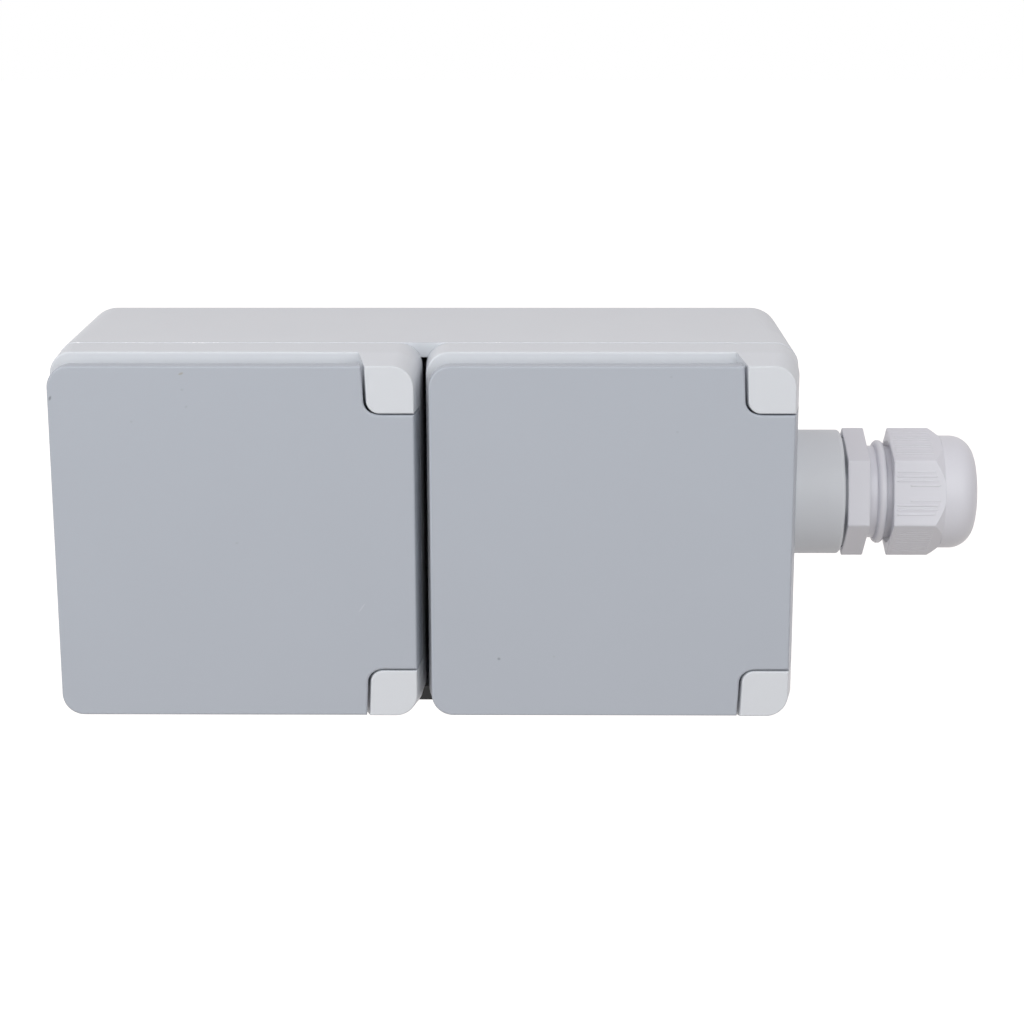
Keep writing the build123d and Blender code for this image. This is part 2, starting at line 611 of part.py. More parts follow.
# Earth clip: one bent strip with two sprung arms that bow into the well, and its terminal
for side in MODULES:
    x = centre_x(side)
    arm_inside = WELL_RADIUS + CLIP_GAP
    nose_depth = RIM_DEPTH + CLIP_BOW
    arm_root = RIM_DEPTH + CLIP_ROOT
    arm_tip = RIM_DEPTH + CLIP_TIP
    with BuildPart() as earth_clip:
        with BuildSketch(from_above(x)):
            with BuildLine():
                Polyline(
                    (0, base_front), (arm_inside, base_front), (arm_inside, arm_root),
                    (arm_inside - CLIP_NOSE, nose_depth), (arm_inside - CLIP_GAP, arm_tip),
                    (arm_inside - CLIP_GAP + CLIP_SHEET, arm_tip),
                    (arm_inside - CLIP_NOSE + CLIP_SHEET, nose_depth), (arm_inside + CLIP_SHEET, arm_root),
                    (arm_inside + CLIP_SHEET, base_front + CLIP_SHEET),
                    (0, base_front + CLIP_SHEET), close=True,
                )
            make_face()
            mirror(about=Plane.YZ)
        extrude(amount=CLIP_WIDTH / 2, both=True)
        with BuildSketch(facing(base_front, x)):
            with Locations((-TERMINAL_X, -TERMINAL_Z / 2)):
                Rectangle(STRAP_WIDTH, TERMINAL_Z)
        extrude(amount=-CLIP_SHEET)
        with BuildSketch(facing(base_front, x)):
            with Locations(terminal_places[2]):
                Rectangle(TERMINAL_SIZE, TERMINAL_SIZE)
        extrude(amount=-strap_depth - TERMINAL_HEIGHT + POCKET_CLEARANCE)
        with BuildSketch(facing(base_front, x)):
            Circle(SCREW_RADIUS + SCREW_CLEARANCE)
        extrude(amount=-CLIP_SHEET, mode=Mode.SUBTRACT)
        with BuildSketch(facing(base_front, x)):
            with Locations(terminal_places[2]):
                Circle(TERMINAL_SCREW_RADIUS + THREAD_CLEARANCE)
        extrude(amount=-strap_depth - TERMINAL_HEIGHT, mode=Mode.SUBTRACT)
        with BuildSketch(facing(base_front, x)):
            with Locations(terminal_places[2]):
                Circle(TERMINAL_HEAD_RADIUS + SCREW_CLEARANCE)
        extrude(amount=-strap_depth, mode=Mode.SUBTRACT)
        with BuildSketch(across(x - TERMINAL_X)):
            with Locations((-TERMINAL_Z, 0)):
                Circle(WIRE_HOLE_RADIUS)
        extrude(amount=TERMINAL_SIZE, both=True, mode=Mode.SUBTRACT)
    save(earth_clip, f"earth_clip_{side}")

# Screws of each module
for side in MODULES:
    cover_places = [(0, COVER_SCREW_Z), (0, -COVER_SCREW_Z)]
    cover_head_front = RIM_DEPTH + COVER_SCREW_SINK - SCREW_HEAD
    cover_length = SEAM_DEPTH - RIM_DEPTH - COVER_SCREW_SINK + COVER_SCREW_GRIP
    cover_screws = screws(
        side, cover_places, cover_head_front, SCREW_HEAD, SCREW_RADIUS, SCREW_HEAD_RADIUS, cover_length,
    )
    save(cover_screws, f"cover_screws_{side}")
    centre_screw = screws(
        side, [(0, 0)], well_floor - SCREW_HEAD, SCREW_HEAD, SCREW_RADIUS, SCREW_HEAD_RADIUS,
        CUP_FLOOR + CENTRE_GRIP,
    )
    save(centre_screw, f"centre_screw_{side}")
    insert_screws = screws(
        side, [(lug_x, 0), (-lug_x, 0)], lug_front - SCREW_HEAD, SCREW_HEAD, SCREW_RADIUS, SCREW_HEAD_RADIUS,
        LUG_HEIGHT + INSERT_GRIP,
    )
    save(insert_screws, f"insert_screws_{side}")
    terminal_screws = screws(
        side, terminal_places, strap_front - SCREW_HEAD, SCREW_HEAD, TERMINAL_SCREW_RADIUS,
        TERMINAL_HEAD_RADIUS, TERMINAL_GRIP,
    )
    save(terminal_screws, f"terminal_screws_{side}")

# Seam seal: soft ring inside the frame's skirt, on the front of the box
for side in MODULES:
    seal_out = SEAM_FLARE - SKIRT_WALL - SEAM_SEAL_GAP
    seal_out_inner = INNER_SEAM_FLARE - SKIRT_WALL - SEAM_SEAL_GAP
    with BuildPart() as box_seal:
        with BuildSketch(facing(SEAM_DEPTH, centre_x(side))):
            module_outline(side, seal_out, seal_out_inner, FRAME_CORNER - SKIRT_WALL - SEAM_SEAL_GAP)
            offset(amount=-SEAM_SEAL_WIDTH, mode=Mode.SUBTRACT)
        extrude(amount=SEAM_SEAL_HEIGHT)
    save(box_seal, f"box_seal_{side}")

# Back box: two bays with a groove between them, bosses and posts for the screws, and the gland's spout
with BuildPart() as back_box:
    for depth, flare, corner in (
        (SEAM_DEPTH, box_flare, FRAME_CORNER + BOX_STEP), (DEPTH, box_flare + BOX_DRAFT, BACK_CORNER),
    ):
        with BuildSketch(facing(depth)):
            RectangleRounded(PITCH + LID_SIZE + 2 * flare, LID_SIZE + 2 * flare, corner)
    loft(ruled=True)
    fillet(back_box.faces().sort_by(Axis.Y)[-1].edges(), EDGE_ROUND)
    with BuildSketch(along_gland(box_side - BOX_WALL)):
        Circle(SPOUT_RADIUS)
    extrude(amount=SPOUT_LENGTH + BOX_WALL)
    fillet(back_box.faces().sort_by(Axis.X)[-1].edges(), SPOUT_ROUND)
    bay_height = LID_SIZE + 2 * (box_flare - BOX_WALL)
    for depth, divider in ((SEAM_DEPTH, RAIL_HALF), (SEAM_DEPTH + RAIL_DEPTH, WEB_HALF)):
        bay_width = PITCH / 2 + half_lid + box_flare - BOX_WALL - divider
        with BuildSketch(facing(depth)):
            with GridLocations(bay_width + 2 * divider, 0, 2, 1):
                RectangleRounded(bay_width, bay_height, LID_CORNER)
        extrude(amount=depth - back_inside, mode=Mode.SUBTRACT)
    with BuildSketch(facing(SEAM_DEPTH)):
        Rectangle(2 * GROOVE_HALF, bay_height)
    extrude(amount=-GROOVE_DEPTH, mode=Mode.SUBTRACT)
    for side in MODULES:
        x = centre_x(side)
        with BuildSketch(facing(back_inside, x)):
            with Locations((0, COVER_SCREW_Z), (0, -COVER_SCREW_Z)):
                Circle(BOSS_RADIUS)
        extrude(amount=back_inside - SEAM_DEPTH)
        with BuildSketch(facing(back_inside, x)):
            with Locations((lug_x, 0), (-lug_x, 0)):
                Circle(BOSS_RADIUS)
        extrude(amount=back_inside - base_back)
        with BuildSketch(facing(SEAM_DEPTH, x)):
            with Locations((0, COVER_SCREW_Z), (0, -COVER_SCREW_Z)):
                Circle(SCREW_RADIUS + THREAD_CLEARANCE)
        extrude(amount=-COVER_SCREW_GRIP - BOSS_SPARE, mode=Mode.SUBTRACT)
        with BuildSketch(facing(base_back, x)):
            with Locations((lug_x, 0), (-lug_x, 0)):
                Circle(SCREW_RADIUS + THREAD_CLEARANCE)
        extrude(amount=-INSERT_GRIP - BOSS_SPARE, mode=Mode.SUBTRACT)
    with BuildSketch(facing(back_inside)):
        Rectangle(2 * RAIL_HALF, PASSAGE_WIDTH)
    extrude(amount=PASSAGE_DEPTH, mode=Mode.SUBTRACT)
    with BuildSketch(along_gland(box_side - 2 * BOX_WALL)):
        Circle(GLAND_THREAD_RADIUS + THREAD_CLEARANCE)
    extrude(amount=SPOUT_LENGTH + 2 * BOX_WALL, mode=Mode.SUBTRACT)
    with BuildSketch(facing(DEPTH)):
        recess_width = PITCH / 2 + half_lid - 1.5 * BACK_RIM
        with GridLocations(recess_width + BACK_RIM, 0, 2, 1):
            RectangleRounded(recess_width, LID_SIZE - 2 * BACK_RIM, LID_CORNER)
        with GridLocations(2 * WALL_HOLE_X, 2 * WALL_HOLE_Z, 2, 2):
            Circle(WALL_PAD_RADIUS, mode=Mode.SUBTRACT)
    extrude(amount=BACK_RECESS, mode=Mode.SUBTRACT)
    with BuildSketch(facing(DEPTH)):
        with GridLocations(2 * WALL_HOLE_X, 2 * WALL_HOLE_Z, 2, 2):
            Circle(WALL_HOLE_RADIUS)
    extrude(amount=BACK_WALL, mode=Mode.SUBTRACT)
save(back_box, "back_box")

# Gland body: thread in the spout, hex collar, neck with a bead, thread for the nut and the clamping sleeve
with BuildPart() as gland_body:
    with BuildSketch(along_gland(washer_end)):
        hexagon()
    extrude(amount=HEX_COLLAR)
    fillet(gland_body.faces().filter_by(Axis.X).edges(), HEX_END_ROUND)
    with BuildSketch(gland_plane):
        with BuildLine():
            Polyline(
                (spout_end - GLAND_THREAD, 0), (spout_end - GLAND_THREAD, GLAND_THREAD_RADIUS),
                (washer_end, GLAND_THREAD_RADIUS), (washer_end, NECK_RADIUS), (bead_start, NECK_RADIUS),
                (bead_start, BEAD_RADIUS), (bead_start + BEAD, BEAD_RADIUS),
                (bead_start + BEAD, NUT_THREAD_RADIUS), (claw_start, NUT_THREAD_RADIUS),
                (claw_end, GLAND_BORE + CLAW_TIP), (claw_end, 0), close=True,
            )
        make_face()
        bead_corners = [v for v in vertices() if abs(v.Y - BEAD_RADIUS) < 1e-6]
        fillet(bead_corners, (BEAD - BEAD_FLAT) / 2)
    revolve(axis=gland_axis)
    with BuildSketch(along_gland(spout_end - GLAND_THREAD)):
        Circle(GLAND_BORE)
    extrude(amount=claw_end - spout_end + GLAND_THREAD, mode=Mode.SUBTRACT)
save(gland_body, "gland_body")

# Gland washer: flat ring between the spout and the hex collar
with BuildPart() as gland_washer:
    with BuildSketch(along_gland(spout_end)):
        Circle(WASHER_RADIUS)
        Circle(GLAND_THREAD_RADIUS + THREAD_CLEARANCE, mode=Mode.SUBTRACT)
    extrude(amount=WASHER)
save(gland_washer, "gland_washer")

# Gland insert: rubber sleeve that grips the cable inside the clamping sleeve
with BuildPart() as gland_insert:
    with BuildSketch(along_gland(nut_start)):
        Circle(GLAND_BORE - INSERT_CLEARANCE)
        Circle(INSERT_BORE, mode=Mode.SUBTRACT)
    extrude(amount=claw_end - nut_start + INSERT_LIP)
save(gland_insert, "gland_insert")

# Gland nut: hexagon with turned corners that runs into a domed end
with BuildPart() as gland_nut:
    with BuildSketch(along_gland(nut_start)):
        hexagon()
    extrude(amount=nut_shoulder - nut_start)
    fillet(gland_nut.faces().sort_by(Axis.X)[0].edges(), HEX_END_ROUND)
    with BuildSketch(gland_plane):
        corner_radius = GLAND_FLATS / math.sqrt(3)
        with BuildLine():
            Polyline(
                (nut_start, 0), (nut_start, corner_radius), (nut_start + NUT_HEX, corner_radius),
                (nut_shoulder, NUT_DOME_RADIUS), (nut_shoulder, 0), close=True,
            )
        make_face()
    revolve(axis=gland_axis, mode=Mode.INTERSECT)
    with BuildSketch(gland_plane):
        with BuildLine():
            Polyline(
                (nut_shoulder, 0), (nut_shoulder, NUT_DOME_RADIUS), (nut_end, NUT_DOME_RADIUS), (nut_end, 0),
                close=True,
            )
        make_face()
        fillet(vertices().group_by(Axis.X)[-1].sort_by(Axis.Y)[-1], NUT_DOME_ROUND)
    revolve(axis=gland_axis)
    with BuildSketch(gland_plane):
        with BuildLine():
            nut_bore = NUT_THREAD_RADIUS + NUT_RUNNING
            Polyline(
                (nut_start, 0), (nut_start, nut_bore + NUT_RECESS), (nut_start + NUT_RECESS, nut_bore),
                (claw_start, nut_bore), (nut_end - NUT_RECESS, NUT_MOUTH + NUT_RECESS),
                (nut_end - NUT_RECESS, NUT_MOUTH), (nut_end, NUT_MOUTH), (nut_end, 0), close=True,
            )
        make_face()
    revolve(axis=gland_axis, mode=Mode.SUBTRACT)
save(gland_nut, "gland_nut")
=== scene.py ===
"""Looks of a two-gang surface wall socket: finishes, leaned end, fine wire and ribs, and a white studio.

The socket keeps the frame of its solids, in metres: +X to the right towards the cable gland, +Y into the
wall, +Z up. Sizes that are easier to read in millimetres end in _mm.
"""

import json
import logging
import math
from dataclasses import dataclass
from enum import Enum
from typing import Any

import bmesh
import bpy
from mathutils import Matrix, Vector


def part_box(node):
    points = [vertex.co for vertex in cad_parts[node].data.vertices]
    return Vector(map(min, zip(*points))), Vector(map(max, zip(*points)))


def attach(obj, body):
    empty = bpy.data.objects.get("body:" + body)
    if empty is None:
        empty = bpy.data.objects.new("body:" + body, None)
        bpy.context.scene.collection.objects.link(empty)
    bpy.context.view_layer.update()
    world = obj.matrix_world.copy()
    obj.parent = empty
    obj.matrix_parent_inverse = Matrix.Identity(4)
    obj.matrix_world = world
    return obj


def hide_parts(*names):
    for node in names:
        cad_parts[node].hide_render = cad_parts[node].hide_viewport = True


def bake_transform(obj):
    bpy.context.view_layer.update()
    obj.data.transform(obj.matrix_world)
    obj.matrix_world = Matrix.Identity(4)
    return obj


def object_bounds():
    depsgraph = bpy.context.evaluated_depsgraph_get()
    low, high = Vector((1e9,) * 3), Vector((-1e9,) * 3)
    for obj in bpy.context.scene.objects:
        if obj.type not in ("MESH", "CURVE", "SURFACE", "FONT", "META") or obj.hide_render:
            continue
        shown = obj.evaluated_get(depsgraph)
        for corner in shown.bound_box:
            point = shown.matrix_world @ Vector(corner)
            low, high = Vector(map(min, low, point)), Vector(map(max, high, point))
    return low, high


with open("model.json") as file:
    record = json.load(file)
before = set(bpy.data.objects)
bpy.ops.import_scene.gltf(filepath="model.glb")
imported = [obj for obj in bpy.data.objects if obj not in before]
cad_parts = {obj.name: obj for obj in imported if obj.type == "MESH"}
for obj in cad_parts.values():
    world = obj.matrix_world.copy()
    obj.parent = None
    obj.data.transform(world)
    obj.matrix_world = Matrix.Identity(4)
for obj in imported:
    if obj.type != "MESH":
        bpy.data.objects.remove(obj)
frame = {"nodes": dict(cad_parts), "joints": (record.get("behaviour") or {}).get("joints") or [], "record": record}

CAD_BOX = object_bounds()
MM = 0.001
UM = 1e-6
WHITE = "FFFFFF"
LOG = logging.getLogger("wall_socket")

# Detail of the noise in slow clouds and in fine grain, and the span that most of its values keep to.
CLOUD_DETAIL = 3.0
GRAIN_DETAIL = 2.0
NOISE_SPAN = (0.3, 0.7)

# Sockets of a Mix node that mixes colours.
MIX_SHARE, MIX_FROM, MIX_TO, MIX_RESULT = 0, 6, 7, 2


class Side(Enum):
    """The two modules, by the ending of their nodes' names."""

    LEFT = "left"
    RIGHT = "right"


class Lay(Enum):
    """Direction in which a surface's fine marks run, as the stretch of their pattern."""

    EVEN = (1.0, 1.0, 1.0)
    ALONG_Y = (1.0, 0.06, 1.0)
    ALONG_Z = (1.0, 1.0, 0.06)


def linear(code: str, lift: float = 1.0) -> tuple[float, float, float, float]:
    """Turns an sRGB hex colour to linear light.

    Args:
        code: Six hex digits, such as "C8CACD".
        lift: Factor on the linear values, for a lighter or darker tone of the same colour.

    Returns:
        Red, green, blue and an alpha of one.
    """
    shares = [int(code[i : i + 2], 16) / 255 for i in (0, 2, 4)]
    levels = [s / 12.92 if s <= 0.04045 else ((s + 0.055) / 1.055) ** 2.4 for s in shares]
    red, green, blue = (min(level * lift, 1.0) for level in levels)
    return red, green, blue, 1.0


def per_metre(size_mm: float) -> float:
    """Gives the texture scale whose features are about size_mm wide."""
    return 1.0 / (size_mm * MM)


def share_between(value: float, start: float, end: float) -> float:
    """Gives how far a value lies on its way from start to end, from zero to one."""
    return min(max((value - start) / (end - start), 0.0), 1.0)


def add_node(
    tree: bpy.types.NodeTree,
    kind: str,
    settings: dict[str, Any] | None = None,
    inputs: dict[str | int, Any] | None = None,
) -> bpy.types.Node:
    """Adds a node with its settings, and links or sets its inputs.

    Args:
        tree: Tree that the node goes into.
        kind: Blender's name of the node type.
        settings: Properties of the node.
        inputs: Input sockets by name or number, each with a value or with the output that feeds it.

    Returns:
        The new node.
    """
    node = tree.nodes.new(kind)
    for name, value in (settings or {}).items():
        setattr(node, name, value)
    for key, value in (inputs or {}).items():
        if isinstance(value, bpy.types.NodeSocket):
            tree.links.new(value, node.inputs[key])
        else:
            node.inputs[key].default_value = value
    return node


@dataclass(frozen=True)
class Finish:
    """A surface, by what it is made of and how it was made.

    Attributes:
        name: Material and process, which also names Blender's material.
        colour: sRGB hex value of the middle tone.
        roughness: Middle roughness.
        tone: Share by which the colour drifts to either side.
        tone_mm: Size of the patches of drift.
        grain_mm: Pitch of the surface's relief.
        grain_um: Height of that relief in micrometres.
        gloss_spread: How far the roughness drifts to either side.
        lay: Direction of the relief.
        metallic: One for a metal.
        ior: Index of refraction.
    """

    name: str
    colour: str
    roughness: float
    tone: float
    tone_mm: float
    grain_mm: float
    grain_um: float
    gloss_spread: float = 0.05
    lay: Lay = Lay.EVEN
    metallic: float = 0.0
    ior: float = 1.5

    def build(self) -> bpy.types.Material:
        """Makes the material.

        Returns:
            A material with one Principled shader fed by procedural patterns in the socket's own frame.
        """
        material = bpy.data.materials.new(self.name)
        material.use_nodes = True
        tree = material.node_tree
        tree.nodes.clear()
        place = add_node(tree, "ShaderNodeTexCoord").outputs["Object"]
        shader = add_node(
            tree,
            "ShaderNodeBsdfPrincipled",
            inputs={
                "Base Color": self.coloured(tree, place),
                "Roughness": self.matted(tree, place),
                "Normal": self.grained(tree, place),
                "Metallic": self.metallic,
                "IOR": self.ior,
            },
        )
        add_node(tree, "ShaderNodeOutputMaterial", inputs={"Surface": shader.outputs["BSDF"]})
        return material

    def coloured(self, tree: bpy.types.NodeTree, place: bpy.types.NodeSocket) -> bpy.types.NodeSocket:
        """Draws the slow drift of the colour.

        Args:
            tree: Tree of the material.
            place: Position in the socket's frame.

        Returns:
            The colour's output.
        """
        clouds = add_node(
            tree,
            "ShaderNodeTexNoise",
            inputs={"Vector": place, "Scale": per_metre(self.tone_mm), "Detail": CLOUD_DETAIL},
        )
        drift = add_node(
            tree,
            "ShaderNodeMix",
            {"data_type": "RGBA"},
            {
                MIX_SHARE: clouds.outputs["Fac"],
                MIX_FROM: linear(self.colour, 1 - self.tone),
                MIX_TO: linear(self.colour, 1 + self.tone),
            },
        )
        return drift.outputs[MIX_RESULT]

    def matted(self, tree: bpy.types.NodeTree, place: bpy.types.NodeSocket) -> bpy.types.NodeSocket:
        """Draws the slow drift of the roughness.

        Args:
            tree: Tree of the material.
            place: Position in the socket's frame.

        Returns:
            The roughness's output.
        """
        clouds = add_node(
            tree,
            "ShaderNodeTexNoise",
            inputs={"Vector": place, "Scale": per_metre(self.tone_mm / 2), "Detail": GRAIN_DETAIL},
        )
        drift = add_node(
            tree,
            "ShaderNodeMapRange",
            inputs={
                "Value": clouds.outputs["Fac"],
                "From Min": NOISE_SPAN[0],
                "From Max": NOISE_SPAN[1],
                "To Min": self.roughness - self.gloss_spread,
                "To Max": self.roughness + self.gloss_spread,
            },
        )
        return drift.outputs["Result"]

    def grained(self, tree: bpy.types.NodeTree, place: bpy.types.NodeSocket) -> bpy.types.NodeSocket:
        """Raises the relief that the tool left on the surface.

        Args:
            tree: Tree of the material.
            place: Position in the socket's frame.

        Returns:
            The bumped normal's output.
        """
        along = add_node(
            tree, "ShaderNodeMapping", {"vector_type": "POINT"}, {"Vector": place, "Scale": self.lay.value}
        )
        grain = add_node(
            tree,
            "ShaderNodeTexNoise",
            inputs={
                "Vector": along.outputs["Vector"],
                "Scale": per_metre(self.grain_mm),
                "Detail": GRAIN_DETAIL,
            },
        )
        bump = add_node(
            tree,
            "ShaderNodeBump",
            inputs={"Height": grain.outputs["Fac"], "Distance": self.grain_um * UM},
        )
        return bump.outputs["Normal"]


@dataclass(frozen=True)
class Mark:
    """A small spot that fades at its rim; most are wear, and some are painted shade.

    Attributes:
        x_mm: Its middle along X.
        z_mm: Its middle along Z.
        length_mm: Its length.
        width_mm: Its width.
        colour: sRGB hex value at its middle.
        lean_deg: How far it leans from X towards Z.
        broken: Whether it is broken up into specks.
    """

    x_mm: float
    z_mm: float
    length_mm: float
    width_mm: float
    colour: str
    lean_deg: float = 0.0
    broken: bool = False


@dataclass(frozen=True)
class MarkedFinish(Finish):
    """A moulded surface that hands, plugs and tools have marked, and on which some marks are painted shade.

    Attributes:
        face_mm: Where the marks lie along Y.
        depth_mm: How far they reach along Y.
        speck_mm: Size of the specks that a broken mark is made of.
        speck_edge: Values of the noise between which a speck fades in.
        core: Share of a mark's reach that keeps its full colour.
        marks: The marks.
    """

    face_mm: float = 0.0
    depth_mm: float = 2.0
    speck_mm: float = 0.6
    speck_edge: tuple[float, float] = (0.5, 0.6)
    core: float = 0.3
    marks: tuple[Mark, ...] = ()

    def coloured(self, tree: bpy.types.NodeTree, place: bpy.types.NodeSocket) -> bpy.types.NodeSocket:
        """Draws the marks over the drift of the colour.

        Args:
            tree: Tree of the material.
            place: Position in the socket's frame.

        Returns:
            The colour's output.
        """
        colour = super().coloured(tree, place)
        grit = add_node(
            tree,
            "ShaderNodeTexNoise",
            inputs={"Vector": place, "Scale": per_metre(self.speck_mm), "Detail": GRAIN_DETAIL},
        )
        faint, full = self.speck_edge
        specks = add_node(
            tree,
            "ShaderNodeMapRange",
            {"interpolation_type": "SMOOTHSTEP"},
            {"Value": grit.outputs["Fac"], "From Min": faint, "From Max": full},
        )
        for mark in self.marks:
            spot = add_node(
                tree,
                "ShaderNodeMapping",
                {"vector_type": "TEXTURE"},
                {
                    "Vector": place,
                    "Location": (mark.x_mm * MM, self.face_mm * MM, mark.z_mm * MM),
                    "Rotation": (0.0, -math.radians(mark.lean_deg), 0.0),
                    "Scale": (mark.length_mm * MM / 2, self.depth_mm * MM / 2, mark.width_mm * MM / 2),
                },
            )
            reach = add_node(
                tree, "ShaderNodeVectorMath", {"operation": "LENGTH"}, {0: spot.outputs["Vector"]}
            )
            worn = add_node(
                tree,
                "ShaderNodeMapRange",
                {"interpolation_type": "SMOOTHSTEP"},
                {
                    "Value": reach.outputs["Value"],
                    "From Min": self.core,
                    "From Max": 1.0,
                    "To Min": specks.outputs["Result"] if mark.broken else 1.0,
                    "To Max": 0.0,
                },
            )
            marked = add_node(
                tree,
                "ShaderNodeMix",
                {"data_type": "RGBA"},
                {MIX_SHARE: worn.outputs["Result"], MIX_FROM: colour, MIX_TO: linear(mark.colour)},
            )
            colour = marked.outputs[MIX_RESULT]
        return colour


class Finishes:
    """The socket's materials by the slots of its record."""

    # Injection-moulded ABS from a spark-eroded mould: an even pale grey, satin rather than glossy, with a
    # relief too fine to show at 0.1 mm, so it is drawn at 0.35 mm. The seam's edge is chipped to white
    # specks. Between the modules, painted shade greys it at the top, and a near-black painted shadow fills the
    # foot of the gap.
    body_grey = MarkedFinish(
        name="abs_moulded_light_grey",
        colour="D6DADF",
        roughness=0.46,
        tone=0.012,
        tone_mm=22.0,
        grain_mm=0.35,
        grain_um=5.0,
        gloss_spread=0.02,
        face_mm=-41.9,
        depth_mm=1.0,
        marks=(
            Mark(x_mm=-45.0, z_mm=37.9, length_mm=12.0, width_mm=1.2, colour="F0F1F3", broken=True),
            Mark(x_mm=-57.5, z_mm=37.9, length_mm=9.0, width_mm=0.8, colour="E4E6E9", broken=True),
            Mark(x_mm=-69.8, z_mm=37.9, length_mm=0.9, width_mm=1.2, colour="F0F1F3"),
            Mark(x_mm=14.5, z_mm=37.9, length_mm=6.0, width_mm=0.8, colour="E2E4E7", broken=True),
            # Painted shade: a greyer patch where the gap between the modules opens at the top.
            Mark(x_mm=0.0, z_mm=36.0, length_mm=16.0, width_mm=7.0, colour="C4C8CD"),
            # Painted shadow: near black at the foot of the gap between the modules.
            Mark(x_mm=0.0, z_mm=-36.6, length_mm=14.0, width_mm=9.0, colour="080808"),
        ),
    )

    # Injection-moulded ABS in a cooler, darker grey: the same satin, with the small dark rubs and one pale
    # scratch that the flat faces show, and relief drawn at 0.35 mm to show at all.
    lid_grey = MarkedFinish(
        name="abs_moulded_cool_grey",
        colour="B0B6BF",
        roughness=0.44,
        tone=0.012,
        tone_mm=26.0,
        grain_mm=0.35,
        grain_um=5.0,
        gloss_spread=0.03,
        face_mm=-57.4,
        marks=(
            Mark(x_mm=-72.8, z_mm=29.6, length_mm=1.3, width_mm=0.7, colour="868B92", lean_deg=70.0),
            Mark(x_mm=-46.9, z_mm=34.5, length_mm=1.4, width_mm=0.6, colour="A3A29F", lean_deg=20.0),
            Mark(x_mm=-46.8, z_mm=31.3, length_mm=0.8, width_mm=0.6, colour="A8AEB6"),
            Mark(x_mm=-46.1, z_mm=27.9, length_mm=0.9, width_mm=0.6, colour="A8AEB6", lean_deg=40.0),
            Mark(x_mm=-57.0, z_mm=24.9, length_mm=0.8, width_mm=0.6, colour="A9AFB7"),
            Mark(x_mm=-37.0, z_mm=0.2, length_mm=0.9, width_mm=0.6, colour="A9AFB7"),
            Mark(x_mm=-12.3, z_mm=-13.2, length_mm=3.2, width_mm=0.35, colour="BBC0C8", lean_deg=55.0),
            Mark(x_mm=15.1, z_mm=-23.9, length_mm=0.9, width_mm=0.8, colour="9298A0"),
            Mark(x_mm=26.2, z_mm=-23.4, length_mm=0.7, width_mm=0.6, colour="AAB0B8"),
            Mark(x_mm=50.3, z_mm=22.9, length_mm=0.8, width_mm=0.6, colour="A9AFB7"),
            Mark(x_mm=48.9, z_mm=33.9, length_mm=0.8, width_mm=0.6, colour="AAB0B8"),
        ),
    )

    # Injection-moulded polyamide: a pale, waxy grey, smoother than the box, with a soft sheen on its flats.
    gland_grey = Finish(
        name="polyamide_moulded_grey",
        colour="DADBE2",
        roughness=0.36,
        tone=0.02,
        tone_mm=9.0,
        grain_mm=0.6,
        grain_um=6.0,
        ior=1.53,
    )

    # Injection-moulded polycarbonate from a polished mould: a pale grey well, glossier than the box.
    insert_grey = Finish(
        name="polycarbonate_moulded_pale_grey",
        colour="DCDDDF",
        roughness=0.28,
        tone=0.01,
        tone_mm=18.0,
        grain_mm=0.8,
        grain_um=3.0,
        ior=1.58,
    )

    # Compression-moulded urea: a chalky off-white block with a slight cloud in it.
    base_plastic = Finish(
        name="urea_moulded_off_white",
        colour="CFCBBF",
        roughness=0.55,
        tone=0.03,
        tone_mm=7.0,
        grain_mm=0.4,
        grain_um=6.0,
    )

    # Moulded nitrile rubber: near black and dull, with a dusty bloom that drifts over it.
    rubber = Finish(
        name="nitrile_rubber_moulded_black",
        colour="2B2C2E",
        roughness=0.72,
        tone=0.2,
        tone_mm=4.0,
        grain_mm=0.4,
        grain_um=12.0,
    )

    # Moulded neoprene: a flat mid grey with no shine, clouded by the filler in it.
    gasket_grey = Finish(
        name="neoprene_moulded_grey",
        colour="80848A",
        roughness=0.62,
        tone=0.05,
        tone_mm=3.0,
        grain_mm=0.4,
        grain_um=8.0,
    )

    # Rolled and stamped brass strip: warm yellow, with rolling lines along the strip, which are drawn at
    # 0.25 mm to show.
    brass = Finish(
        name="brass_rolled_strip",
        colour="C9A55A",
        roughness=0.32,
        tone=0.05,
        tone_mm=6.0,
        grain_mm=0.25,
        grain_um=2.0,
        lay=Lay.ALONG_Z,
        metallic=1.0,
    )

    # Turned steel with a bright zinc plating: cool and softly reflective, with faint turning lines.
    steel = Finish(
        name="steel_turned_zinc_plated",
        colour="B9BCC0",
        roughness=0.3,
        tone=0.06,
        tone_mm=2.5,
        grain_mm=0.25,
        grain_um=2.0,
        lay=Lay.ALONG_Y,
        metallic=1.0,
    )

    # Cold-drawn spring wire, oiled: darker than the screws, with drawing lines along the wire.
    spring_wire = Finish(
        name="spring_steel_drawn_wire",
        colour="8E9094",
        roughness=0.26,
        tone=0.08,
        tone_mm=1.5,
        grain_mm=0.2,
        grain_um=2.0,
        metallic=1.0,
    )


def piece_of(name: str, mesh: bpy.types.Mesh, material: bpy.types.Material) -> bpy.types.Object:
    """Makes a piece of a finished mesh, which still needs the body that carries it.

    Args:
        name: Name of the piece.
        mesh: Its mesh, in the socket's frame.
        material: Its material.

    Returns:
        The piece.
    """
    piece = bpy.data.objects.new(name, mesh)
    bpy.context.scene.collection.objects.link(piece)
    mesh.materials.append(material)
    LOG.info("%s has %d faces", name, len(mesh.polygons))
    return piece


